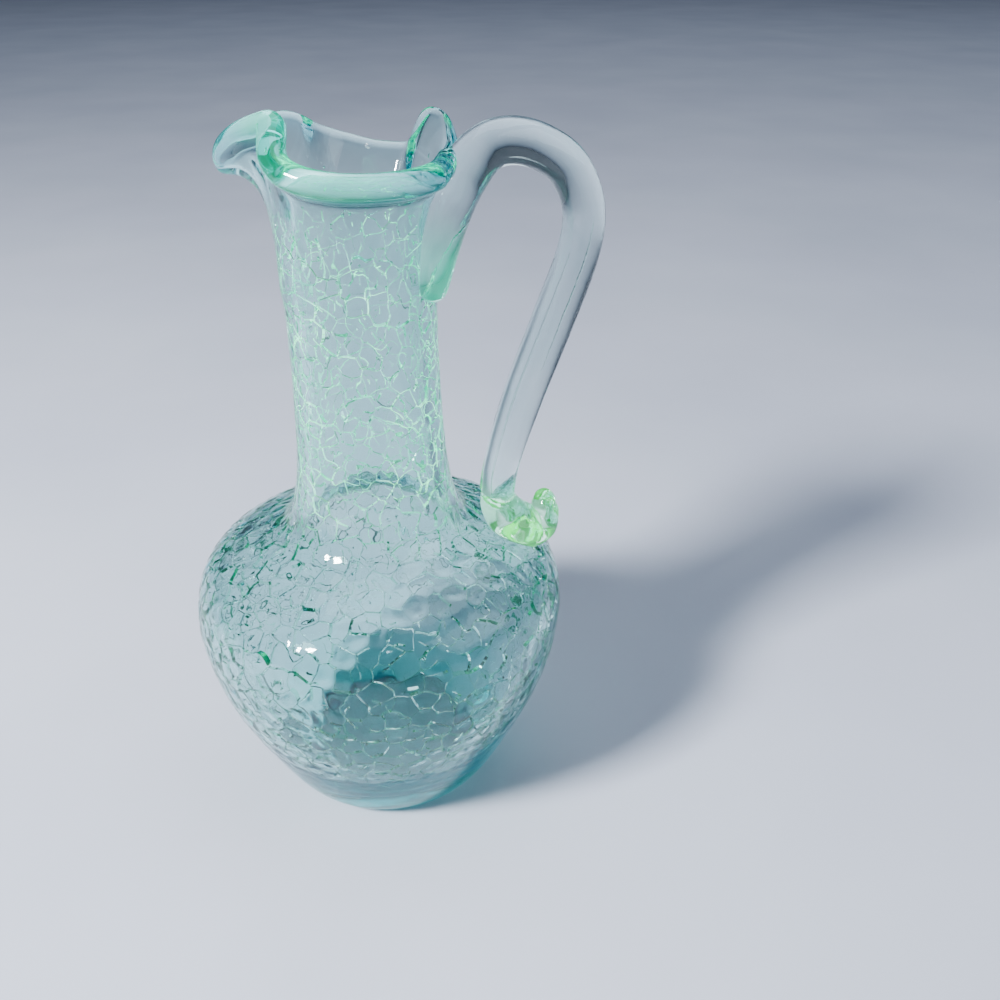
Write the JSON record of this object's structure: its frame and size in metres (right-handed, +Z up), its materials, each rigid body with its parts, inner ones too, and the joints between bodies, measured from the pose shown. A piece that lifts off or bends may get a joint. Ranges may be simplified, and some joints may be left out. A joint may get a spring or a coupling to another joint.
{
  "type": "crackle glass pitcher",
  "caption": "Small hand-blown crackle-glass pitcher with a tall neck, pinched pouring spout and a solid looped rod handle.",
  "frame": {"origin": "centre of the flat ground base, on the surface that the pitcher stands on", "axes": "+Z up along the axis of the body and neck, +X out to the loop of the handle, the spout points about 13 degrees off -X"},
  "size_m": [0.0813, 0.0748, 0.1394],
  "materials": {
    "vessel_glass": "fire-polished clear glass with a pale green tint, crackled through the wall",
    "handle_glass": "fire-polished clear glass with a pale green tint, smooth"
  },
  "bodies": {
    "root": {"vessel": "vessel_glass", "handle": "handle_glass"}
  },
  "joints": []
}
